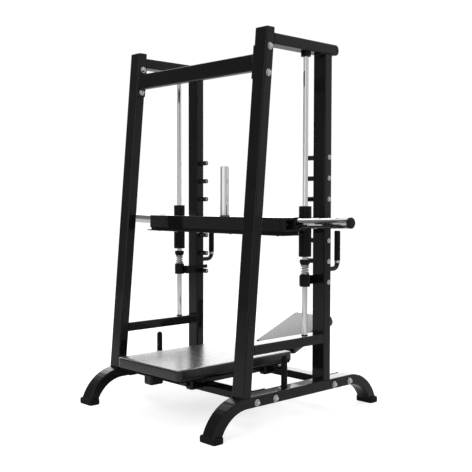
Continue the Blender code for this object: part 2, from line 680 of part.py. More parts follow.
# ---------------------------------------------------------------- handles
for side_name, sign in SIDES:
    x = sign * SIDE_X
    start_y = REAR_Y + TUBE_D / 2 + GAP
    path = [(x, start_y, HANDLE_Z)]
    for step in range(7):
        angle = math.radians(90.0 * step / 6)
        path.append((x, HANDLE_Y - HANDLE_BEND + HANDLE_BEND * math.sin(angle),
                     HANDLE_Z + HANDLE_BEND * (1.0 - math.cos(angle))))
    path.append((x, HANDLE_Y, GRIP_Z[1] - GRIP_END))
    make_object("rear_handle_" + side_name, sweep(path, circle(HANDLE_R, 20), (1, 0, 0)),
                "black", smooth=True)

    # grip: a sleeve with a closed upper end, its skin run inside then outside
    height = GRIP_Z[1] - GRIP_Z[0]
    bore = HANDLE_R + GAP
    profile = ((bore, height - GRIP_END + GAP), (bore, 0.0), (GRIP_R + 0.001, 0.0),
               (GRIP_R + 0.001, 0.003), (GRIP_R, 0.005), (GRIP_R, height - 0.006),
               (GRIP_R - 0.003, height - 0.001))
    centre = Vector((x, HANDLE_Y, GRIP_Z[0]))
    body = bmesh.new()
    skin(body, [[centre + Vector((a, b, h)) for a, b in circle(r, 24)] for r, h in profile])
    make_object("rear_grip_" + side_name, body, "rubber", smooth=True)

    height = POST_HAND_TOP - BASE_TOP - GAP
    r = POST_HAND_R
    profile = ((0.0, 0.0), (r + 0.003, 0.0), (r + 0.003, 0.006), (r, 0.008), (r, height - r),
               (r * 0.92, height - r * 0.60), (r * 0.70, height - r * 0.28),
               (r * 0.38, height - r * 0.07), (0.0, height))
    body = lathe(profile, (x, POST_Y, BASE_TOP + GAP), (0, 0, 1), 24)
    make_object("seat_hand_post_" + side_name, body, "rubber", smooth=True)


# ---------------------------------------------------------------- seat
def cushion(half_w, y_range, z_range, corner):
    """Upholstered slab: rounded outline, softened top and bottom edges."""
    low_z, high_z = z_range
    mid = sum(y_range) / 2
    half_l = (y_range[1] - y_range[0]) / 2
    bm = bmesh.new()
    rings = []
    levels = ((low_z, -0.003), (low_z + 0.003, 0.0), (high_z - PAD_EDGE, 0.0),
              (high_z - PAD_EDGE * 0.4, -PAD_EDGE * 0.25), (high_z, -PAD_EDGE))
    for z, grow in levels:
        outline = rounded_rect(half_w + grow, half_l + grow, corner + grow, 5)
        rings.append([Vector((a, mid + b, z)) for a, b in outline])
    skin(bm, rings)
    return bm


body = cushion(SEAT_HALF_W, SEAT_Y, SEAT_Z, SEAT_CORNER)
make_object("seat_pad", body, "vinyl", smooth=True)


def rail(sign):
    mid = sign * RAIL_X
    return box((mid - RAIL_W / 2, RAIL_Y[0], RAIL_Z[0]),
               (mid + RAIL_W / 2, RAIL_Y[1], RAIL_Z[1]), 0.004, 2)


# seat frame: two rails on the base cross members joined by two ties
seat_frame = make_object("seat_frame", rail(1), "black")
cut(seat_frame, rail(-1), 'UNION')
for tie_y in TIE_Y:
    tie = box((-RAIL_X, tie_y - TIE_HALF, RAIL_Z[0] + 0.006),
              (RAIL_X, tie_y + TIE_HALF, RAIL_Z[1] - 0.006), 0.003, 1)
    cut(seat_frame, tie, 'UNION')
# rounded drop feet under the pad, clear of the cross members
for low_x, high_x, low_y, high_y in DROPS:
    drop = box((low_x, low_y, DROP_Z), (high_x, high_y, RAIL_Z[1] - 0.002), 0.010, 3)
    cut(seat_frame, drop, 'UNION')
hole = lathe(((0.0, 0.0), (PIVOT_R + GAP, 0.0), (PIVOT_R + GAP, 0.4), (0.0, 0.4)),
             (-0.2, PIVOT_Y, PIVOT_Z), (1, 0, 0), 24)
cut(seat_frame, hole)

# pivot bolt through both rails, with a round head on the right side
reach = RAIL_X + RAIL_W / 2 + GAP
profile = ((0.0, -reach - 0.008), (0.010, -reach - 0.008), (0.012, -reach - 0.006),
           (0.012, -reach), (PIVOT_R, -reach), (PIVOT_R, reach), (0.013, reach),
           (0.013, reach + 0.006), (0.010, reach + 0.010), (0.0, reach + 0.010))
body = lathe(profile, (0.0, PIVOT_Y, PIVOT_Z), (1, 0, 0), 24)
make_object("back_pivot_bolt", body, "zinc", smooth=True)


# back pad and its frame, built level at the pivot and then tilted up
def tilt_up(bm):
    bmesh.ops.transform(bm, matrix=Matrix.Translation(PIVOT) @ TILT, verts=bm.verts)
    return bm


pad_y = (LOCAL_TOP.y - BACK_L, LOCAL_TOP.y)
body = cushion(BACK_HALF_W, pad_y, (PAD_LOW, LOCAL_TOP.z), BACK_CORNER)
make_object("back_pad", tilt_up(body), "vinyl", origin=PIVOT, smooth=True)

body = box((-BAR_HALF_W, BAR_START, BAR_LOW), (BAR_HALF_W, pad_y[1] - BAR_END, PAD_LOW - GAP),
           0.003, 1)
back_frame = make_object("back_frame", tilt_up(body), "black", origin=PIVOT)
for strap_y in (pad_y[0] + 0.070, pad_y[1] - 0.090):
    strap = box((-STRAP_HALF_X, strap_y - STRAP_HALF_Y, PAD_LOW - GAP - STRAP_T),
                (STRAP_HALF_X, strap_y + STRAP_HALF_Y, PAD_LOW - GAP - 0.0002))
    cut(back_frame, tilt_up(strap), 'UNION')
sleeve_half = RAIL_X - RAIL_W / 2 - 2 * GAP
profile = ((0.0, -sleeve_half), (PIVOT_SLEEVE_R, -sleeve_half), (PIVOT_SLEEVE_R, sleeve_half),
           (0.0, sleeve_half))
cut(back_frame, lathe(profile, PIVOT, (1, 0, 0), 28), 'UNION')
profile = ((0.0, -0.1), (PIVOT_R + GAP, -0.1), (PIVOT_R + GAP, 0.1), (0.0, 0.1))
cut(back_frame, lathe(profile, PIVOT, (1, 0, 0), 24))
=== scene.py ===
"""Looks for the vertical leg press: finishes, upholstery, fasteners, welds and a plain studio."""
import math
import random

import bmesh
import bpy
from mathutils import Matrix, Vector


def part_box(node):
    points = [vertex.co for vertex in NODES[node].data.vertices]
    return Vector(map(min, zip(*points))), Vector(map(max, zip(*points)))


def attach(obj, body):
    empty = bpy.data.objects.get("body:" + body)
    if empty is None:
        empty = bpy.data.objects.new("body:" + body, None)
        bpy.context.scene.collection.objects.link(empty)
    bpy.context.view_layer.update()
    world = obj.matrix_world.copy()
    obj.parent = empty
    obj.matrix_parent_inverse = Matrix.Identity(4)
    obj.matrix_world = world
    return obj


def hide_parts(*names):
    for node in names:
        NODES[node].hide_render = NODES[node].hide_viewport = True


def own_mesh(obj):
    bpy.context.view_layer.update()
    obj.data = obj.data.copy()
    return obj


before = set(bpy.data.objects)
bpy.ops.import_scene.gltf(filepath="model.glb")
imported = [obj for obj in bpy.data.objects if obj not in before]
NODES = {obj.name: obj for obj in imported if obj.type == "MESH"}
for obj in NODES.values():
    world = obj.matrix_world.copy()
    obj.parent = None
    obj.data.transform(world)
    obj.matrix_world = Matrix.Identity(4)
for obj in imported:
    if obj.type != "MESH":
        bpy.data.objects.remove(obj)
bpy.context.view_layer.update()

SIDES = (("left", -1), ("right", 1))
RNG = random.Random(7)


# ---------------------------------------------------------------- materials
class Graph:
    """Short hand for building one Principled material out of nodes."""

    def __init__(self, name, **fixed):
        self.mat = bpy.data.materials.new(name)
        self.mat.use_nodes = True
        self.tree = self.mat.node_tree
        self.shader = self.tree.nodes["Principled BSDF"]
        for key, value in fixed.items():
            self.shader.inputs[key.replace("_", " ")].default_value = value
        self.coord = self.add("ShaderNodeTexCoord").outputs["Object"]

    def add(self, kind, **settings):
        node = self.tree.nodes.new(kind)
        for key, value in settings.items():
            setattr(node, key, value)
        return node

    def link(self, source, target):
        self.tree.links.new(source, target)

    def stretched(self, scale):
        node = self.add("ShaderNodeMapping")
        node.inputs["Scale"].default_value = scale
        self.link(self.coord, node.inputs["Vector"])
        return node.outputs["Vector"]

    def noise(self, scale, detail=4.0, rough=0.55, vector=None):
        node = self.add("ShaderNodeTexNoise")
        node.inputs["Scale"].default_value = scale
        node.inputs["Detail"].default_value = detail
        node.inputs["Roughness"].default_value = rough
        self.link(vector or self.coord, node.inputs["Vector"])
        return node.outputs["Fac"]

    def cells(self, scale, feature='F1'):
        node = self.add("ShaderNodeTexVoronoi", feature=feature)
        node.inputs["Scale"].default_value = scale
        self.link(self.coord, node.inputs["Vector"])
        return node.outputs["Distance"]

    def remap(self, source, low, high, to_low, to_high):
        node = self.add("ShaderNodeMapRange")
        for key, value in (("From Min", low), ("From Max", high),
                           ("To Min", to_low), ("To Max", to_high)):
            node.inputs[key].default_value = value
        self.link(source, node.inputs["Value"])
        return node.outputs["Result"]

    def mix(self, factor, first, second):
        node = self.add("ShaderNodeMix", data_type='RGBA')
        self.link(factor, node.inputs[0])
        for socket, value in ((node.inputs[6], first), (node.inputs[7], second)):
            if isinstance(value, tuple):
                socket.default_value = (*value, 1.0)
            else:
                self.link(value, socket)
        return node.outputs[2]

    def math(self, operation, a, b):
        node = self.add("ShaderNodeMath", operation=operation)
        for socket, value in zip(node.inputs, (a, b)):
            if isinstance(value, float):
                socket.default_value = value
            else:
                self.link(value, socket)
        return node.outputs[0]

    def edge(self, radius):
        """1 where a true edge lies within the radius, 0 on flat faces."""
        bevel = self.add("ShaderNodeBevel", samples=4)
        bevel.inputs["Radius"].default_value = radius
        true = self.add("ShaderNodeNewGeometry").outputs["Normal"]
        dot = self.add("ShaderNodeVectorMath", operation='DOT_PRODUCT')
        self.link(bevel.outputs["Normal"], dot.inputs[0])
        self.link(true, dot.inputs[1])
        return self.remap(dot.outputs["Value"], 0.995, 0.90, 0.0, 1.0)

    def bump(self, height, distance, strength=1.0, below=None):
        node = self.add("ShaderNodeBump")
        node.inputs["Distance"].default_value = distance
        node.inputs["Strength"].default_value = strength
        self.link(height, node.inputs["Height"])
        if below:
            self.link(below, node.inputs["Normal"])
        return node.outputs["Normal"]

    def finish(self, color, rough, normal):
        self.link(color, self.shader.inputs["Base Color"])
        self.link(rough, self.shader.inputs["Roughness"])
        self.link(normal, self.shader.inputs["Normal"])
        return self.mat


def powder_coat(name, dark, light, rough, coat, edge_highlight_grey=0.022):
    """Black powder coat: orange peel, faint cloudiness, dust, and a painted highlight along the edges.
    """
    g = Graph(name, Specular_IOR_Level=0.06, Coat_Weight=coat, Coat_Roughness=0.07,
              Coat_IOR=1.30)
    cloud = g.noise(7.0, 5.0)
    speck = g.noise(900.0, 2.0)
    tone = g.mix(g.remap(cloud, 0.35, 0.70, 0.0, 1.0), dark, light)
    # painted highlight: true edges, broken up by noise, are lightened towards a grey and made rougher
    edge_highlight_mask = g.math('MULTIPLY', g.edge(0.0016), g.remap(g.noise(38.0), 0.45, 0.62, 0.0, 1.0))
    tone = g.mix(edge_highlight_mask, tone, (edge_highlight_grey, edge_highlight_grey, edge_highlight_grey * 1.02))
    gloss = g.remap(g.noise(26.0, 6.0, 0.65), 0.30, 0.72, rough - 0.02, rough + 0.04)
    gloss = g.math('ADD', gloss, g.remap(edge_highlight_mask, 0.0, 1.0, 0.0, 0.12))
    peel = g.bump(g.noise(420.0, 2.0), 0.00004, 0.3)
    return g.finish(tone, gloss, g.bump(speck, 0.00001, 0.3, peel))


def chrome(name, tint, rough, along):
    """Bright plate: long polishing lines, finger smears and tiny pits."""
    g = Graph(name, Metallic=1.0)
    smear = g.noise(19.0, 6.0, 0.6)
    lines = g.noise(60.0, 3.0, 0.6, g.stretched(along))
    tone = g.mix(g.remap(smear, 0.35, 0.75, 0.0, 1.0), tint, tuple(0.95 * c for c in tint))
    gloss = g.math('ADD', g.remap(smear, 0.35, 0.72, rough, rough + 0.04),
                   g.remap(lines, 0.45, 0.70, 0.0, 0.02))
    scratch = g.bump(lines, 0.000004, 0.3)
    return g.finish(tone, gloss, g.bump(g.noise(700.0, 1.0), 0.000002, 0.3, scratch))


def zinc(name, tint, rough):
    """Zinc plate: crystalline mottling and slightly dulled edges."""
    g = Graph(name, Metallic=1.0)
    mottle = g.cells(480.0)
    tone = g.mix(g.remap(mottle, 0.1, 0.7, 0.0, 1.0), tint, tuple(0.80 * c for c in tint))
    tone = g.mix(g.edge(0.0006), tone, tuple(0.62 * c for c in tint))
    gloss = g.remap(g.noise(160.0), 0.3, 0.7, rough - 0.06, rough + 0.10)
    return g.finish(tone, gloss, g.bump(g.noise(600.0), 0.00004, 0.5))


def rubber(name, dark, light, rough, grain):
    """Moulded rubber: fine pebbling, a bloom of dust and scuffed edges."""
    g = Graph(name, Specular_IOR_Level=0.15)
    bloom = g.noise(30.0, 6.0, 0.65)
    tone = g.mix(g.remap(bloom, 0.40, 0.72, 0.0, 1.0), dark, light)
    tone = g.mix(g.edge(0.0010), tone, tuple(1.6 * c for c in light))
    gloss = g.remap(bloom, 0.3, 0.7, rough - 0.08, rough + 0.08)
    pebble = g.bump(g.cells(grain), 0.00018, 0.6)
    return g.finish(tone, gloss, g.bump(g.noise(grain * 0.6, 3.0), 0.00010, 0.5, pebble))


def plastic(name, dark, light, rough):
    """Injection moulded cap: spark-eroded texture with slight sink marks."""
    g = Graph(name, Specular_IOR_Level=0.20)
    sink = g.noise(55.0, 3.0)
    tone = g.mix(g.remap(sink, 0.35, 0.70, 0.0, 1.0), dark, light)
    gloss = g.remap(g.noise(240.0), 0.3, 0.7, rough - 0.07, rough + 0.07)
    erode = g.bump(g.noise(1300.0, 2.0), 0.00008, 0.6)
    return g.finish(tone, gloss, g.bump(sink, 0.0003, 0.25, erode))


def vinyl(name, dark, light, rough):
    """Upholstery vinyl: leather grain cells, creases and a soft sheen."""
    g = Graph(name, Specular_IOR_Level=0.20, Coat_Weight=1.0, Coat_Roughness=0.24,
              Coat_IOR=1.42, Sheen_Weight=0.02, Sheen_Roughness=0.45)
    g.shader.inputs["Sheen Tint"].default_value = (0.6, 0.6, 0.62, 1.0)
    cell = g.cells(620.0, 'DISTANCE_TO_EDGE')
    broad = g.noise(9.0, 5.0, 0.6)
    tone = g.mix(g.remap(broad, 0.35, 0.70, 0.0, 1.0), dark, light)
    valley = g.remap(cell, 0.0, 0.12, 1.0, 0.0)
    tone = g.mix(g.math('MULTIPLY', valley, 0.5), tone, tuple(0.5 * c for c in dark))
    gloss = g.math('ADD', g.remap(g.noise(46.0, 6.0, 0.7), 0.3, 0.7, rough - 0.04, rough + 0.07),
                   g.math('MULTIPLY', valley, 0.08))
    grain = g.bump(g.remap(cell, 0.0, 0.18, 0.0, 1.0), 0.00006, 0.30)
    crease = g.bump(g.noise(95.0, 3.0), 0.00012, 0.15, grain)
    return g.finish(tone, gloss, crease)


def tread(name, dark, light, rough):
    """Painted foot plate: powder coat over a raised non-slip pattern."""
    g = Graph(name, Specular_IOR_Level=0.18, Coat_Weight=0.05, Coat_Roughness=0.2)
    tone = g.mix(g.remap(g.noise(11.0, 6.0), 0.35, 0.7, 0.0, 1.0), dark, light)
    lumps = g.remap(g.cells(90.0), 0.12, 0.30, 1.0, 0.0)
    tone = g.mix(g.math('MULTIPLY', lumps, 0.35), tone, tuple(2.2 * c for c in light))
    gloss = g.remap(g.noise(33.0, 6.0), 0.3, 0.7, rough - 0.06, rough + 0.10)
    raised = g.bump(lumps, 0.0006, 0.7)
    return g.finish(tone, gloss, g.bump(g.noise(420.0, 2.0), 0.0002, 0.5, raised))


GLOSS = powder_coat("gloss_black_coat", (0.0030, 0.0030, 0.0032), (0.0050, 0.0050, 0.0052), 0.30, 1.0)
SATIN = powder_coat("satin_black_coat", (0.0036, 0.0036, 0.0038), (0.0060, 0.0060, 0.0062), 0.40, 0.45)
ROD = chrome("chrome_rod", (0.86, 0.86, 0.85), 0.035, (1.0, 1.0, 0.02))
HORN = chrome("chrome_horn", (0.74, 0.74, 0.73), 0.060, (0.02, 1.0, 1.0))
ZINC = zinc("zinc_plate", (0.78, 0.78, 0.77), 0.22)
SPRING = zinc("spring_steel", (0.30, 0.30, 0.31), 0.26)
RUBBER = rubber("black_rubber", (0.0040, 0.0040, 0.0040), (0.0075, 0.0075, 0.0073), 0.62, 520.0)
GRIP = rubber("grip_rubber", (0.0038, 0.0038, 0.0038), (0.0070, 0.0070, 0.0070), 0.52, 800.0)
CAP = plastic("cap_plastic", (0.0042, 0.0042, 0.0043), (0.0072, 0.0072, 0.0073), 0.40)
LINER = plastic("bearing_plastic", (0.030, 0.029, 0.026), (0.045, 0.043, 0.038), 0.48)
VINYL = vinyl("black_vinyl", (0.0045, 0.0045, 0.0047), (0.0070, 0.0070, 0.0073), 0.27)
TREAD = tread("tread_coat", (0.0045, 0.0045, 0.0047), (0.0075, 0.0075, 0.0077), 0.42)
BOARD = rubber("pad_backing", (0.0035, 0.0035, 0.0035), (0.0060, 0.0060, 0.0059), 0.75, 300.0)
THREAD = rubber("seam_thread", (0.0075, 0.0075, 0.0075), (0.012, 0.012, 0.012), 0.60, 2400.0)

PREFIX_FINISH = (
    ("guide_rod", ROD), ("weight_horn", HORN), ("weight_post", ROD), ("horn_cap", CAP),
    ("upright_cap", CAP), ("side_tube_cap", CAP), ("foot_cap", RUBBER), ("bumper_cup", RUBBER),
    ("rear_grip", GRIP), ("seat_hand_post", GRIP), ("plate_spacer", RUBBER),
    ("linear_bushing", LINER), ("bearing_housing", SATIN), ("rod_clamp", SATIN),
    ("stop_arm", SATIN), ("foot_plate", TREAD), ("back_pivot_bolt", ZINC),
    ("bumper_spring", SPRING), ("seat_pad", VINYL), ("back_pad", VINYL),
)
SHARP = math.radians(32)
for node_name, node in NODES.items():
    finish = GLOSS
    for prefix, choice in PREFIX_FINISH:
        if node_name.startswith(prefix):
            finish = choice
    for material_slot in node.material_slots:
        material_slot.material = finish
    node.data.shade_smooth()
    node.data.set_sharp_from_angle(angle=SHARP)


# ---------------------------------------------------------------- mesh tools
def piece(name, bm, finish, body, smooth=True):
    bmesh.ops.recalc_face_normals(bm, faces=bm.faces)
    mesh = bpy.data.meshes.new(name)
    bm.to_mesh(mesh)
    bm.free()
    if smooth:
        mesh.shade_smooth()
        mesh.set_sharp_from_angle(angle=SHARP)
    obj = bpy.data.objects.new(name, mesh)
    bpy.context.scene.collection.objects.link(obj)
    mesh.materials.append(finish)
    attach(obj, body)
    return obj


def axes_for(axis):
    axis = Vector(axis).normalized()
    side = axis.orthogonal().normalized()
    return axis, side, axis.cross(side)


def ring(bm, centre, side, turn, radius, count, start=0.0):
    return [bm.verts.new(centre + side * (radius * math.cos(start + 2 * math.pi * i / count))
                         + turn * (radius * math.sin(start + 2 * math.pi * i / count)))
            for i in range(count)]


def bridge(bm, low, high):
    count = max(len(low), len(high))
    for i in range(count):
        j = (i + 1) % count
        if len(low) == 1:
            bm.faces.new((low[0], high[i], high[j]))
        elif len(high) == 1:
            bm.faces.new((low[i], low[j], high[0]))
        else:
            bm.faces.new((low[i], low[j], high[j], high[i]))


def turned(bm, base, axis, profile, count=28, start=0.0, closed=False):
    """Turn (radius, height) points round an axis; radius 0 closes an end."""
    axis, side, turn = axes_for(axis)
    base = Vector(base)
    rings = []
    for radius, height in profile:
        centre = base + axis * height
        if radius == 0.0:
            rings.append([bm.verts.new(centre)])
        else:
            rings.append(ring(bm, centre, side, turn, radius, count, start))
    pairs = list(zip(rings, rings[1:]))
    if closed:
        pairs.append((rings[-1], rings[0]))
    for low, high in pairs:
        bridge(bm, low, high)


def tube(bm, points, radius_at, count=8, closed=False):
    """Round bar along points, its radius given for each index."""
    rings = []
    total = len(points)
    for index, point in enumerate(points):
        before = points[index - 1] if index or closed else point
        after = points[(index + 1) % total] if index + 1 < total or closed else point
        _, side, turn = axes_for(after - before)
        if rings:
            last = (rings[-1][0].co - points[index - 1]).normalized()
            along = (after - before).normalized()
            side = (last - along * last.dot(along)).normalized()
            turn = along.cross(side)
        rings.append(ring(bm, point, side, turn, radius_at(index), count))
    for low, high in zip(rings, rings[1:]):
        bridge(bm, low, high)
    if closed:
        turned_by = min(range(count), key=lambda k: (rings[0][k].co - rings[-1][0].co).length)
        bridge(bm, rings[-1], rings[0][turned_by:] + rings[0][:turned_by])
    else:
        bm.faces.new(list(reversed(rings[0])))
        bm.faces.new(rings[-1])


# ---------------------------------------------------------------- measures from the frame
upright_low, upright_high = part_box("front_upright_right")
rear_low, rear_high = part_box("rear_upright_right")
brace_low, brace_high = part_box("lower_brace_right")
side_tube_low, side_tube_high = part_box("top_side_tube_right")
rod_low, rod_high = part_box("guide_rod_right")
beam_low, beam_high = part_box("carriage_beam")

OUTER_X = upright_high.x
INNER_X = upright_low.x
SIDE_X = (OUTER_X + INNER_X) / 2
HALF_X = (OUTER_X - INNER_X) / 2
HALF_D = 0.0254
REAR_Y = (rear_low.y + rear_high.y) / 2
ROD_Y = (rod_low.y + rod_high.y) / 2
ROD_R = (rod_high.x - rod_low.x) / 2
BASE_TOP = upright_low.z


def front_y(z):
    """Centre of the leaning upright at height z."""
    share = (z - upright_low.z) / (upright_high.z - upright_low.z)
    return (upright_low.y + HALF_D) * (1.0 - share) + (upright_high.y - HALF_D) * share


# ---------------------------------------------------------------- fasteners
WASHER_R = 0.0160
NUT_R = 0.0128


def domed_nut(bm, base, axis, scale=1.0):
    """Washer, flanged hexagon and round cap, seen from outside."""
    def sized(profile):
        return [(r * scale, h * scale) for r, h in profile]
    turned(bm, base, axis, sized(((0.0, 0.0), (WASHER_R, 0.0), (WASHER_R, 0.0016),
                                  (WASHER_R - 0.0006, 0.0022), (0.0, 0.0022))), 32)
    turned(bm, base, axis, sized(((0.0, 0.0022), (NUT_R - 0.0004, 0.0022), (NUT_R, 0.0028),
                                  (NUT_R, 0.0068), (NUT_R - 0.0011, 0.0078), (0.0, 0.0078))),
           6, RNG.uniform(0.0, 1.0))
    turned(bm, base, axis, sized(((0.0, 0.0076), (0.0104, 0.0076), (0.0104, 0.0095),
                                  (0.0092, 0.0118), (0.0068, 0.0136), (0.0036, 0.0146),
                                  (0.0, 0.0149))), 28)


def socket_head(bm, base, axis, radius=0.0090, height=0.0062):
    """Low button head with a hexagon socket sunk in it."""
    turned(bm, base, axis, ((0.0, 0.0), (radius * 1.35, 0.0), (radius * 1.35, 0.0012),
                            (radius * 1.28, 0.0017), (0.0, 0.0017)), 28)
    axis, side, turn = axes_for(axis)
    base = Vector(base)
    count = 24
    rings = [[bm.verts.new(base + axis * 0.0016)]]
    for r, h in ((1.0, 0.0016), (1.0, 0.0030), (0.93, height * 0.80), (0.78, height * 0.95),
                 (0.62, height)):
        rings.append(ring(bm, base + axis * h, side, turn, radius * r, count))
    for depth in (height, height * 0.45):
        loop = []
        for i in range(count):
            angle = 2 * math.pi * i / count
            reach = math.cos(math.pi / 6) / math.cos((angle % (math.pi / 3)) - math.pi / 6)
            loop.append(bm.verts.new(base + axis * depth
                                     + (side * math.cos(angle) + turn * math.sin(angle))
                                     * (radius * 0.46 * reach)))
        rings.append(loop)
    rings.append([bm.verts.new(base + axis * height * 0.45)])
    for low, high in zip(rings, rings[1:]):
        bridge(bm, low, high)


CROSS_PLATE = 0.0066         # bolting plate on each end of a cross member
BASE_BOLT_Y = (-0.352, -0.233, 0.180, 0.297)
BASE_BOLT_Z = 0.1395
TOP_BOLT_Z = (1.7175, 1.6000)
PEG_Z = [0.643 + 0.100 * index for index in range(7)]
PEG_END = 0.0500             # from the upright to the floor of each peg's hollow end

for side_name, sign in SIDES:
    nuts = bmesh.new()
    heads = bmesh.new()
    nut_x = OUTER_X if sign > 0 else -INNER_X
    head_x = INNER_X if sign > 0 else -OUTER_X
    for y in BASE_BOLT_Y:
        domed_nut(nuts, (sign * OUTER_X, y, BASE_BOLT_Z), (sign, 0, 0))
        socket_head(heads, (sign * (INNER_X - CROSS_PLATE), y, BASE_BOLT_Z), (-sign, 0, 0),
                    0.0105, 0.0075)
    for z in TOP_BOLT_Z:
        y = front_y(z)
        reach = 0.0 if sign > 0 else CROSS_PLATE
        domed_nut(nuts, (nut_x + reach, y, z), (1, 0, 0))
        reach = CROSS_PLATE if sign > 0 else 0.0
        socket_head(heads, (head_x - reach, y, z), (-1, 0, 0), 0.0105, 0.0075)
    piece("frame_nuts_" + side_name, nuts, ZINC, "frame")
    piece("frame_bolt_heads_" + side_name, heads, SATIN, "frame")

    screws = bmesh.new()
    for z in PEG_Z:
        socket_head(screws, (sign * OUTER_X, REAR_Y + 0.0070, z), (sign, 0, 0), 0.0086, 0.0062)
        socket_head(screws, (sign * (INNER_X - PEG_END), REAR_Y, z), (-sign, 0, 0), 0.0058, 0.0045)
    piece("peg_screws_" + side_name, screws, ZINC, "frame")

    top = bmesh.new()
    socket_head(top, (sign * SIDE_X, ROD_Y, side_tube_high.z), (0, 0, 1), 0.0090, 0.0055)
    piece("rod_top_screw_" + side_name, top, ZINC, "frame")

# ---------------------------------------------------------------- welds
WELD_R = 0.0030
WELD_STEP = 0.0032


def ripple(index):
    return WELD_R * (0.92 + 0.16 * math.sin(index * 1.9) + RNG.uniform(-0.05, 0.05))


def straight_weld(bm, start, end):
    start, end = Vector(start), Vector(end)
    count = max(4, int((end - start).length / WELD_STEP))
    sizes = [ripple(i) for i in range(count + 1)]
    sizes[0] *= 0.55
    sizes[-1] *= 0.55
    points = [start.lerp(end, i / count) for i in range(count + 1)]
    tube(bm, points, lambda i: sizes[i], 8)


def round_weld(bm, centre, axis, radius):
    axis, side, turn = axes_for(axis)
    centre = Vector(centre)
    count = int(2 * math.pi * radius / WELD_STEP)
    points = [centre + side * (radius * math.cos(2 * math.pi * i / count))
              + turn * (radius * math.sin(2 * math.pi * i / count)) for i in range(count)]
    sizes = [ripple(i) for i in range(count)]
    tube(bm, points, lambda i: sizes[i], 8, closed=True)


for side_name, sign in SIDES:
    welds = bmesh.new()
    x_low = sign * SIDE_X - HALF_X + 0.005
    x_high = sign * SIDE_X + HALF_X - 0.005

    def across(y, z):
        straight_weld(welds, (x_low, y, z), (x_high, y, z))

    for way in (-1, 1):
        across(front_y(BASE_TOP) + way * HALF_D, BASE_TOP)
        across(REAR_Y + way * HALF_D, BASE_TOP)
        across(REAR_Y + way * HALF_D, side_tube_low.z)
    for z in (brace_low.z, brace_high.z):
        across(front_y(z) + HALF_D, z)
        across(REAR_Y - HALF_D, z)
    for z in (side_tube_low.z, side_tube_high.z):
        across(front_y(z) + HALF_D, z)
    round_weld(welds, (sign * SIDE_X, ROD_Y, brace_high.z + 0.001), (0, 0, 1), ROD_R + 0.0012)
    round_weld(welds, (sign * SIDE_X, REAR_Y + HALF_D + 0.001, 0.7025), (0, 1, 0), 0.0130)
    for z in PEG_Z:
        round_weld(welds, (sign * (INNER_X - 0.0008), REAR_Y, z), (1, 0, 0), 0.0132)
    piece("frame_welds_" + side_name, welds, GLOSS, "frame")

    saddle = bmesh.new()
    for way in (-1, 1):
        x = sign * SIDE_X + way * 0.0262
        straight_weld(saddle, (x, ROD_Y - 0.0150, beam_low.z + 0.008),
                      (x, ROD_Y - 0.0150, beam_high.z - 0.008))
    piece("saddle_welds_" + side_name, saddle, GLOSS, "carriage")

BASE_CROSS_Z = 0.1415
TOP_CROSS_Z = 1.6525
for cross_name, half_y, half_z in (("top_cross_member", 0.019, 0.0381),
                                   ("base_cross_member_front", 0.0381, 0.019),
                                   ("base_cross_member_rear", 0.0381, 0.019)):
    low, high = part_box(cross_name)
    mid_z = BASE_CROSS_Z if cross_name.startswith("base") else TOP_CROSS_Z
    mid_y = (low.y + high.y) / 2
    welds = bmesh.new()
    for way in (-1, 1):
        x = way * (high.x - 0.0068)
        for dy, dz in ((-1, 0), (1, 0)):
            straight_weld(welds, (x, mid_y + dy * half_y, mid_z - half_z + 0.006),
                          (x, mid_y + dy * half_y, mid_z + half_z - 0.006))
        for dz in (-1, 1):
            straight_weld(welds, (x, mid_y - half_y + 0.006, mid_z + dz * half_z),
                          (x, mid_y + half_y - 0.006, mid_z + dz * half_z))
    piece(cross_name + "_welds", welds, GLOSS, "frame")

# ---------------------------------------------------------------- carriage trim
horn_low, horn_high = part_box("weight_horn_right")
HORN_Y = (horn_low.y + horn_high.y) / 2
HORN_R = (horn_high.y - horn_low.y) / 2
HORN_Z = horn_low.z + HORN_R
post_low, post_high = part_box("weight_post")
RECESS_Y = -0.1405

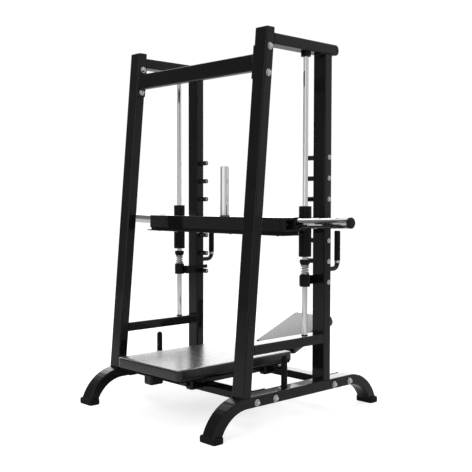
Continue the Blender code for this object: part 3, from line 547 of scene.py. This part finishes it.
for side_name, sign in SIDES:
    # square plate with a round hole, round the root of the horn
    count = 48
    rootplate = bmesh.new()
    rings = []
    for x, grow, bore in ((0.0006, 0.0, False), (0.0046, 0.0, False), (0.0062, -0.0016, False),
                          (0.0062, 0.0, True), (0.0006, 0.0, True)):
        loop = []
        for i in range(count):
            angle = 2 * math.pi * (i + 0.5) / count
            across_y, up = math.cos(angle), math.sin(angle)
            if bore:
                reach = HORN_R + 0.0006
            else:
                flat = 0.0300 + grow
                power = 8.0
                reach = flat / (abs(across_y) ** power + abs(up) ** power) ** (1.0 / power)
            loop.append(rootplate.verts.new((sign * (beam_high.x + x), HORN_Y + reach * across_y,
                                             HORN_Z - 0.0010 + reach * up)))
        rings.append(loop)
    for low, high in zip(rings, rings[1:] + rings[:1]):
        bridge(rootplate, low, high)
    piece("horn_root_plate_" + side_name, rootplate, SATIN, "carriage")

    weld = bmesh.new()
    round_weld(weld, (sign * (beam_high.x + 0.0068), HORN_Y, HORN_Z + 0.0002), (1, 0, 0),
               HORN_R + 0.0008)
    piece("horn_weld_" + side_name, weld, SATIN, "carriage")

    bolt = bmesh.new()
    domed_nut(bolt, (sign * (beam_high.x - 0.0220), RECESS_Y, 0.9240), (sign, 0, 0), 0.78)
    piece("horn_bolt_" + side_name, bolt, SATIN, "carriage")

    screws = bmesh.new()
    for x in (0.440, 0.300, 0.120):
        for y in (beam_low.y + 0.030, beam_high.y - 0.1710):
            socket_head(screws, (sign * x, y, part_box("foot_plate")[0].z), (0, 0, -1), 0.0070, 0.0040)
    piece("foot_plate_screws_" + side_name, screws, ZINC, "carriage")

    wiper = bmesh.new()
    housing_low, housing_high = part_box("bearing_housing_" + side_name)
    for z, way in ((housing_high.z, 1), (housing_low.z, -1)):
        turned(wiper, (sign * SIDE_X, ROD_Y, z), (0, 0, way),
               ((ROD_R + 0.0006, -0.0020), (0.0200, -0.0020), (0.0200, 0.0001),
                (ROD_R + 0.0010, 0.0001)), 32, closed=True)
    piece("rod_wiper_" + side_name, wiper, RUBBER, "carriage")

collar = bmesh.new()
round_weld(collar, (0.0, (post_low.y + post_high.y) / 2, beam_high.z + 0.0012), (0, 0, 1),
           (post_high.x - post_low.x) / 2 + 0.0008)
piece("post_weld", collar, GLOSS, "carriage")

# ---------------------------------------------------------------- springs, grips, hand posts
for side_name, sign in SIDES:
    low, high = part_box("bumper_spring_" + side_name)
    centre = Vector((sign * SIDE_X, ROD_Y, 0.0))
    wire = 0.0021
    coil_r = (high.x - low.x) / 2 - wire
    turns, dead = 4.6, 0.8
    steps = 190
    points = []
    for step in range(steps + 1):
        share = step / steps
        turn = share * turns
        if turn < dead:
            rise = 0.0
        elif turn > turns - dead:
            rise = 1.0
        else:
            rise = (turn - dead) / (turns - 2 * dead)
            rise = rise * rise * (3 - 2 * rise) * 0.3 + rise * 0.7
        closed_coils = min(turn, dead) / dead + max(0.0, turn - turns + dead) / dead
        lift = wire * 1.05 * closed_coils
        z = low.z + wire + lift + rise * (high.z - low.z - 2 * wire - 2.1 * wire)
        angle = 2 * math.pi * turn
        points.append(centre + Vector((coil_r * math.cos(angle), coil_r * math.sin(angle), z)))
    coil = bmesh.new()
    tube(coil, points, lambda i: wire * 0.96, 10)
    spring = piece("spring_coil_" + side_name, coil, SPRING, "stop_" + side_name)
    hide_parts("bumper_spring_" + side_name)
    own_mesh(spring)

    grip_low, grip_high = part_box("rear_grip_" + side_name)
    grip_y = (grip_low.y + grip_high.y) / 2
    collar = bmesh.new()
    turned(collar, (sign * SIDE_X, grip_y, grip_low.z - 0.0125), (0, 0, 1),
           ((0.0123, 0.0), (0.0140, 0.0), (0.0146, 0.0008), (0.0146, 0.0110), (0.0140, 0.0120),
            (0.0123, 0.0120)), 32, closed=True)
    piece("grip_collar_" + side_name, collar, HORN, "frame")

    ribs = bmesh.new()
    radius = (grip_high.x - grip_low.x) / 2 - 0.0010
    z = grip_low.z + 0.014
    while z < grip_high.z - 0.014:
        turned(ribs, (sign * SIDE_X, grip_y, z), (0, 0, 1),
               ((radius - 0.0006, -0.0014), (radius + 0.0004, -0.0005), (radius + 0.0004, 0.0005),
                (radius - 0.0006, 0.0014)), 28, closed=True)
        z += 0.0062
    piece("grip_ribs_" + side_name, ribs, GRIP, "frame")

    hand_low, hand_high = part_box("seat_hand_post_" + side_name)
    hand_y = (hand_low.y + hand_high.y) / 2
    ribs = bmesh.new()
    radius = (hand_high.x - hand_low.x) / 2 - 0.0030
    z = hand_low.z + 0.030
    while z < hand_high.z - 0.020:
        turned(ribs, (sign * SIDE_X, hand_y, z), (0, 0, 1),
               ((radius - 0.0006, -0.0014), (radius + 0.0004, -0.0005), (radius + 0.0004, 0.0005),
                (radius - 0.0006, 0.0014)), 28, closed=True)
        z += 0.0062
    piece("hand_post_ribs_" + side_name, ribs, GRIP, "frame")
    foot = bmesh.new()
    socket_head(foot, (sign * SIDE_X, hand_y - 0.029, BASE_TOP - 0.0003), (0, 0, 1), 0.0055, 0.0045)
    piece("hand_post_screw_" + side_name, foot, ZINC, "frame")


# ---------------------------------------------------------------- upholstery
def outline_points(half_w, half_l, corner, steps=8):
    points = []
    for sx, sy, start in ((1, 1, 0), (-1, 1, 90), (-1, -1, 180), (1, -1, 270)):
        for step in range(steps + 1):
            angle = math.radians(start + 90.0 * step / steps)
            points.append((sx * (half_w - corner) + corner * math.cos(angle),
                           sy * (half_l - corner) + corner * math.sin(angle)))
    return points


def slab(half_w, half_l, thick, corner, edge, inset):
    """Rounded slab centred on the origin, its underside at z = 0."""
    bm = bmesh.new()
    rings = []
    profile = [(0.0, -0.003), (0.003, 0.0)]
    for step in range(5):
        angle = math.radians(90.0 * step / 4)
        profile.append((thick - edge + edge * math.sin(angle), -edge + edge * math.cos(angle)))
    for z, grow in profile:
        loop = outline_points(half_w - inset + grow, half_l - inset + grow, corner + grow)
        rings.append([bm.verts.new((a, b, z)) for a, b in loop])
    for low, high in zip(rings, rings[1:]):
        bridge(bm, low, high)
    bm.faces.new(list(reversed(rings[0])))
    bm.faces.new(rings[-1])
    bmesh.ops.recalc_face_normals(bm, faces=bm.faces)
    return bm


def inflate(obj, voxel, cap):
    """Cloth-inflate a closed slab, keeping every point within cap of its start."""
    remesh = obj.modifiers.new("remesh", 'REMESH')
    remesh.mode = 'VOXEL'
    remesh.voxel_size = voxel
    bpy.context.view_layer.objects.active = obj
    bpy.ops.object.modifier_apply(modifier="remesh")
    start = [v.co.copy() for v in obj.data.vertices]
    cloth = obj.modifiers.new("cloth", 'CLOTH')
    cloth.settings.quality = 4
    cloth.settings.mass = 0.4
    cloth.settings.tension_stiffness = 40.0
    cloth.settings.compression_stiffness = 40.0
    cloth.settings.bending_stiffness = 6.0
    cloth.settings.use_pressure = True
    cloth.settings.uniform_pressure_force = 4.0
    cloth.settings.effector_weights.gravity = 0.0
    cloth.collision_settings.use_collision = False
    cloth.point_cache.frame_start = 1
    cloth.point_cache.frame_end = 20
    for number in range(1, 21):
        bpy.context.scene.frame_set(number)
    graph = bpy.context.evaluated_depsgraph_get()
    swollen = [v.co.copy() for v in obj.evaluated_get(graph).data.vertices]
    obj.modifiers.remove(cloth)
    bpy.context.scene.frame_set(1)
    for vert, old, new in zip(obj.data.vertices, start, swollen):
        shift = new - old
        if shift.length > cap:
            shift *= cap / shift.length
        vert.co = old + shift
    smooth = obj.modifiers.new("smooth", 'SMOOTH')
    smooth.factor = 0.5
    smooth.iterations = 1
    bpy.ops.object.modifier_apply(modifier="smooth")
    subdivide = obj.modifiers.new("subdivide", 'SUBSURF')
    subdivide.levels = 1
    subdivide.render_levels = 1
    bpy.ops.object.modifier_apply(modifier="subdivide")
    obj.data.shade_smooth()


def fit_inside(obj, half_w, half_l, low_z, high_z):
    """Make the swollen pad fill its own space: flat below, crowned above."""
    wide = max(abs(vert.co.x) for vert in obj.data.vertices)
    long = max(abs(vert.co.y) for vert in obj.data.vertices)
    bottom = min(vert.co.z for vert in obj.data.vertices)
    top = max(vert.co.z for vert in obj.data.vertices)
    for vert in obj.data.vertices:
        vert.co.x *= half_w / wide
        vert.co.y *= half_l / long
        vert.co.z = low_z + (vert.co.z - bottom) * (high_z - low_z) / (top - bottom)


BOARD_T = 0.0045             # backing board under each pad
PAD_INSET = 0.0030           # how much smaller a pad starts, before it swells
PAD_EDGE = 0.0050            # rounding of its upper edge
VOXEL = 0.0055
SWELL_CAP = 0.0018           # the most that the cloth may move a point


def upholstered(name, half_w, half_l, thick, corner, placing, body, node_name, crown):
    base = slab(half_w, half_l, thick - BOARD_T - 0.0010, corner, PAD_EDGE, PAD_INSET)
    mesh = bpy.data.meshes.new(name)
    base.to_mesh(mesh)
    base.free()
    pad = bpy.data.objects.new(name, mesh)
    bpy.context.scene.collection.objects.link(pad)
    mesh.materials.append(VINYL)
    inflate(pad, VOXEL, SWELL_CAP)
    # a shallow crown over the foam, and soft lines where the cover pulls in
    for vert in pad.data.vertices:
        u, v = vert.co.x / half_w, vert.co.y / half_l
        dome = max(0.0, 1.0 - u * u) * max(0.0, 1.0 - v * v)
        top = max(0.0, min(1.0, (vert.co.z - 0.3 * thick) / (0.5 * thick)))
        vert.co.z += crown * dome * top
        puckers = 0.00010 * math.sin(41.0 * u + 3.0 * v) * math.sin(29.0 * v)
        edge_near = max(abs(u), abs(v)) ** 8
        vert.co.z += puckers * edge_near * top
    level = thick - BOARD_T + crown * 0.5
    fit_inside(pad, half_w, half_l, 0.0, level)
    # the cover lies taut over the foam: away from the edges the top is one smooth dome
    for vert in pad.data.vertices:
        if vert.co.z > 0.7 * thick:
            u, v = vert.co.x / half_w, vert.co.y / half_l
            inward = min(half_w - abs(vert.co.x), half_l - abs(vert.co.y))
            taut = max(0.0, min(1.0, (inward - 0.005) / 0.016))
            smooth_z = level - crown * (1.0 - (1.0 - u * u) * (1.0 - v * v))
            vert.co.z += (smooth_z - vert.co.z) * taut
    for vert in pad.data.vertices:
        vert.co = placing @ (vert.co + Vector((0.0, 0.0, BOARD_T)))
    pad.data.update()
    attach(pad, body)
    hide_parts(node_name)

    backing = slab(half_w, half_l, BOARD_T - 0.0004, corner, 0.0012, 0.0040)
    bmesh.ops.transform(backing, matrix=placing, verts=backing.verts)
    piece(name + "_board", backing, BOARD, body)

    # welt line round the side, just under the crowned top, with its stitches
    seam_z = thick - 0.0150
    loop = outline_points(half_w + 0.02, half_l + 0.02, corner + 0.02, 10)
    dense = []
    for index, (a, b) in enumerate(loop):
        c, d = loop[(index + 1) % len(loop)]
        count = max(1, int(math.hypot(c - a, d - b) / 0.0055))
        dense += [(a + (c - a) * k / count, b + (d - b) * k / count) for k in range(count)]
    on_skin = []
    for a, b in dense:
        probe = placing @ Vector((a, b, seam_z))
        aim = (placing @ Vector((0.92 * a if abs(b) > half_l else a * 0.90,
                                 0.92 * b if abs(a) > half_w else b * 0.96, seam_z))) - probe
        hit, place, normal, _ = pad.ray_cast(probe, aim.normalized())
        if hit:
            on_skin.append((place, normal))
    seam = bmesh.new()
    tube(seam, [place - normal * 0.0004 for place, normal in on_skin], lambda i: 0.0006, 6,
         closed=True)
    piece(name + "_seam", seam, VINYL, body)
    stitches = bmesh.new()
    for (first, normal), (second, _) in zip(on_skin, on_skin[1:]):
        mid = first.lerp(second, 0.5) - (placing.to_3x3() @ Vector((0, 0, 1))) * 0.0032
        run = (second - first).normalized() * 0.0017
        turned(stitches, mid - run + normal * 0.0001, run,
               ((0.0, 0.0), (0.00035, 0.0003), (0.00045, 0.0017), (0.00035, 0.0031), (0.0, 0.0034)), 5)
    piece(name + "_stitches", stitches, THREAD, body)
    return pad


pad_low, pad_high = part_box("seat_pad")
placing = Matrix.Translation(((pad_low.x + pad_high.x) / 2, (pad_low.y + pad_high.y) / 2, pad_low.z))
upholstered("seat_cushion", (pad_high.x - pad_low.x) / 2, (pad_high.y - pad_low.y) / 2,
            pad_high.z - pad_low.z, 0.022, placing, "frame", "seat_pad", 0.0012)

back_low, back_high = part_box("back_pad")
BACK_TILT = math.radians(21.6)
BACK_T = 0.050
back_half_w = (back_high.x - back_low.x) / 2
back_half_l = 0.1775        # half of the back pad along its slope
upper = Vector((0.0, back_high.y - BACK_T * math.sin(BACK_TILT),
                back_high.z + 0.0029))
along = Vector((0.0, math.cos(BACK_TILT), math.sin(BACK_TILT)))
out = Vector((0.0, -math.sin(BACK_TILT), math.cos(BACK_TILT)))
centre = upper - along * back_half_l - out * BACK_T
placing = Matrix.Translation(centre) @ Matrix.Rotation(BACK_TILT, 4, 'X')
upholstered("back_cushion", back_half_w, back_half_l, BACK_T, 0.014, placing, "back", "back_pad",
            0.0030)

# ---------------------------------------------------------------- studio
BACKDROP = 1.02              # brightness of the white studio as the camera sees it
FLOOR_LIFT = 0.70            # added to the lit floor for the camera, up to the backdrop
floor_bm = bmesh.new()
turned(floor_bm, (0, 0, -0.0002), (0, 0, 1), ((0.0, 0.0), (60.0, 0.0)), 64)
floor_mesh = bpy.data.meshes.new("studio_floor")
floor_bm.to_mesh(floor_mesh)
floor_bm.free()
floor = bpy.data.objects.new("studio_floor", floor_mesh)
bpy.context.scene.collection.objects.link(floor)
paper = Graph("studio_paper", Specular_IOR_Level=0.0)
paper_seen = paper.add("ShaderNodeLightPath").outputs["Is Camera Ray"]
paper.link(paper.math('MULTIPLY', paper_seen, FLOOR_LIFT), paper.shader.inputs["Emission Strength"])
paper.shader.inputs["Emission Color"].default_value = (1.0, 1.0, 1.0, 1.0)
floor_mesh.materials.append(paper.finish(
    paper.mix(paper.noise(1.5), (0.40, 0.40, 0.40), (0.42, 0.42, 0.42)),
    paper.remap(paper.noise(20.0), 0.0, 1.0, 0.9, 1.0), paper.bump(paper.noise(30.0), 0.0001, 0.1)))

world = bpy.data.worlds.new("studio")
bpy.context.scene.world = world
world.use_nodes = True
tree = world.node_tree
tree.nodes.clear()


def world_node(kind, **settings):
    node = tree.nodes.new(kind)
    for key, value in settings.items():
        setattr(node, key, value)
    return node


direction = world_node("ShaderNodeTexCoord").outputs["Generated"]
split = world_node("ShaderNodeSeparateXYZ")
tree.links.new(direction, split.inputs[0])
azimuth = world_node("ShaderNodeMath", operation='ARCTAN2')
tree.links.new(split.outputs[1], azimuth.inputs[0])
tree.links.new(split.outputs[0], azimuth.inputs[1])
share = world_node("ShaderNodeMapRange")
share.inputs["From Min"].default_value = -math.pi
share.inputs["From Max"].default_value = math.pi
tree.links.new(azimuth.outputs[0], share.inputs["Value"])
ramp = world_node("ShaderNodeValToRGB")
tree.links.new(share.outputs["Result"], ramp.inputs[0])
# brightness of the studio round the compass: two dark flags edge the chrome,
# the wall far behind the machine is the brightest and lights the level faces
WALLS = ((-180.0, 0.36), (-172.0, 0.08), (-130.0, 0.08), (-120.0, 0.42), (-60.0, 0.42),
         (-45.0, 0.24), (25.0, 0.24), (35.0, 0.28), (70.0, 0.38), (80.0, 0.10),
         (98.0, 0.10), (108.0, 1.0), (166.0, 1.0), (172.0, 0.36), (180.0, 0.36))
for index, (degrees, value) in enumerate(WALLS):
    place = (degrees + 180.0) / 360.0
    if index == 0:
        element = ramp.color_ramp.elements[0]
    elif index == len(WALLS) - 1:
        element = ramp.color_ramp.elements[-1]
    else:
        element = ramp.color_ramp.elements.new(place)
    element.position = place
    element.color = (value, value, value, 1.0)
seen = world_node("ShaderNodeLightPath").outputs["Is Camera Ray"]
lit = world_node("ShaderNodeBackground")
tree.links.new(ramp.outputs[0], lit.inputs["Color"])
lit.inputs["Strength"].default_value = 2.25
backdrop = world_node("ShaderNodeBackground")
backdrop.inputs["Color"].default_value = (1.0, 1.0, 1.0, 1.0)
backdrop.inputs["Strength"].default_value = BACKDROP
blend_node = world_node("ShaderNodeMixShader")
tree.links.new(seen, blend_node.inputs[0])
tree.links.new(lit.outputs[0], blend_node.inputs[1])
tree.links.new(backdrop.outputs[0], blend_node.inputs[2])
output = world_node("ShaderNodeOutputWorld")
tree.links.new(blend_node.outputs[0], output.inputs[0])


def softbox(name, place, aim, size, watts):
    data = bpy.data.lights.new(name, 'AREA')
    data.shape = 'RECTANGLE'
    data.size, data.size_y = size
    data.energy = watts
    obj = bpy.data.objects.new(name, data)
    obj.location = place
    obj.rotation_euler = (Vector(aim) - Vector(place)).to_track_quat('-Z', 'Y').to_euler()
    obj.visible_glossy = False
    bpy.context.scene.collection.objects.link(obj)


softbox("key_softbox", (2.6, -4.2, 3.6), (0, 0, 0.8), (2.6, 2.6), 130.0)
softbox("fill_softbox", (-4.6, -1.8, 2.6), (0, 0, 0.9), (2.2, 3.0), 70.0)
softbox("back_softbox", (-0.8, 4.6, 3.4), (0, 0, 0.8), (3.0, 2.2), 90.0)
softbox("top_softbox", (0.0, 0.0, 5.2), (0, 0, 0), (3.4, 3.4), 110.0)

# ---------------------------------------------------------------- camera
camera_data = bpy.data.cameras.new("camera")
camera_data.sensor_width = 36.0
camera_data.lens = 62.38
camera = bpy.data.objects.new("camera", camera_data)
right = Vector((0.687335, 0.726339, 0.001453))
up = Vector((-0.031920, 0.028207, 0.999092))
back = Vector((0.725639, -0.686757, 0.042572))
pose = Matrix((right, up, back)).transposed().to_4x4()
pose.translation = Vector((3.0463, -2.8882, 1.0323))
camera.matrix_world = pose
bpy.context.scene.collection.objects.link(camera)
bpy.context.scene.camera = camera

# the studio is plain white, so its brightness is shown unbent
bpy.context.scene.view_settings.view_transform = 'Standard'
